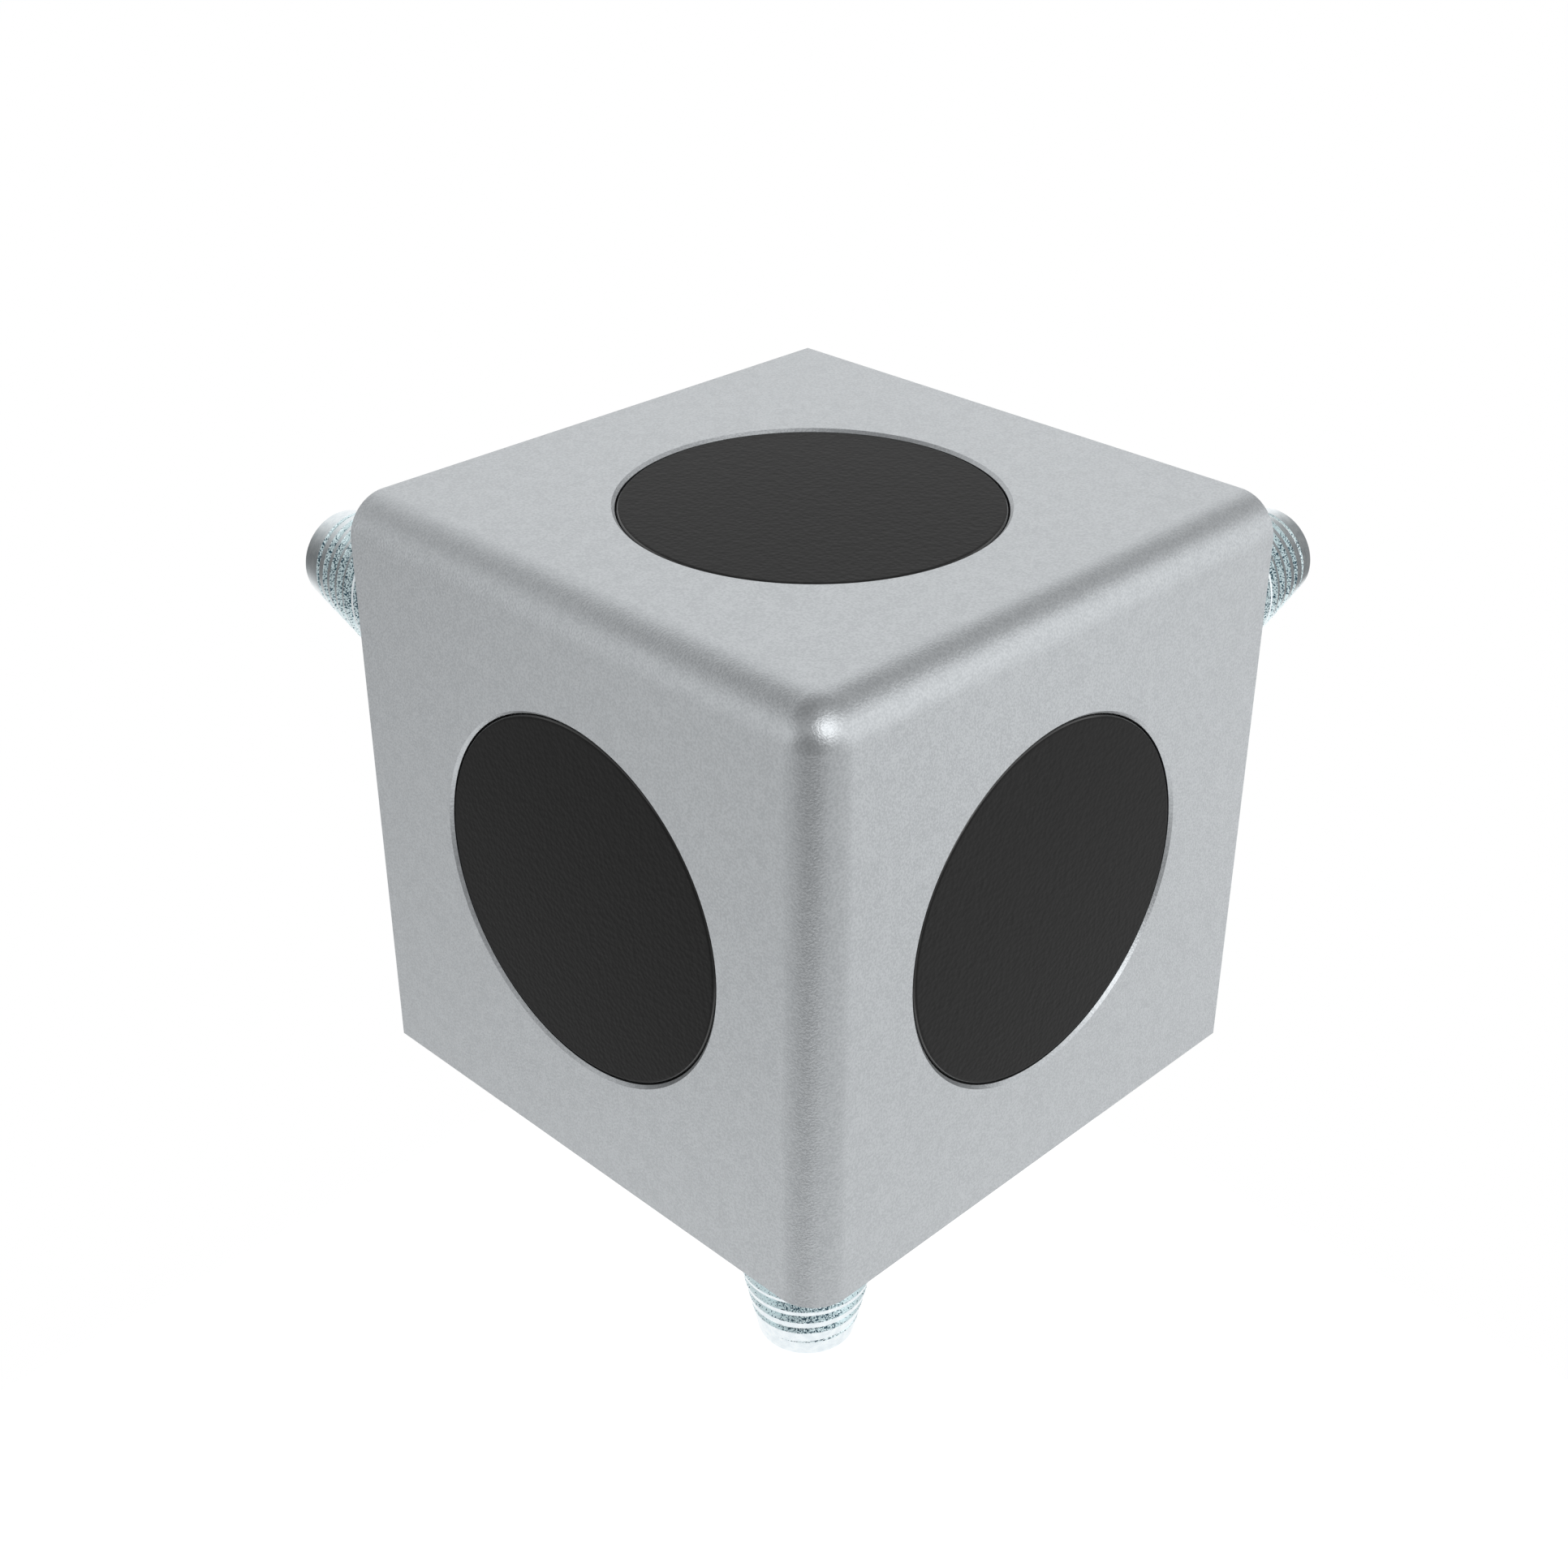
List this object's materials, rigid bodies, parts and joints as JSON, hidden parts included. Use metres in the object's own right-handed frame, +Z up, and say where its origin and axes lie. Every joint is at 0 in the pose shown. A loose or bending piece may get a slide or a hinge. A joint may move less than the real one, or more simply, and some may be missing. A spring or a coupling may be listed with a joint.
{
  "type": "cube connector",
  "caption": "Cast cube that joins profiles at a corner, with capped openings on its outer faces and a thread-forming screw through each seat face.",
  "frame": {"origin": "centre of the lower seat face, where the upright profile's end is clamped", "axes": "+Z up; the capped open faces look along +X, +Y and +Z; the seat faces and their screws look along -X, -Y and -Z"},
  "size_m": [0.082, 0.0813, 0.0754],
  "materials": {
    "cast_silver": "fine matt blasted casting, silver grey",
    "zinc_steel": "bright zinc plate with a faint blue tint",
    "black_plastic": "black with a fine moulded grain"
  },
  "bodies": {
    "root": {"cube_body": "cast_silver", "lower_screw": "zinc_steel", "front_screw": "zinc_steel", "left_screw": "zinc_steel", "top_cap": "black_plastic", "rear_cap": "black_plastic", "right_cap": "black_plastic"}
  },
  "joints": []
}
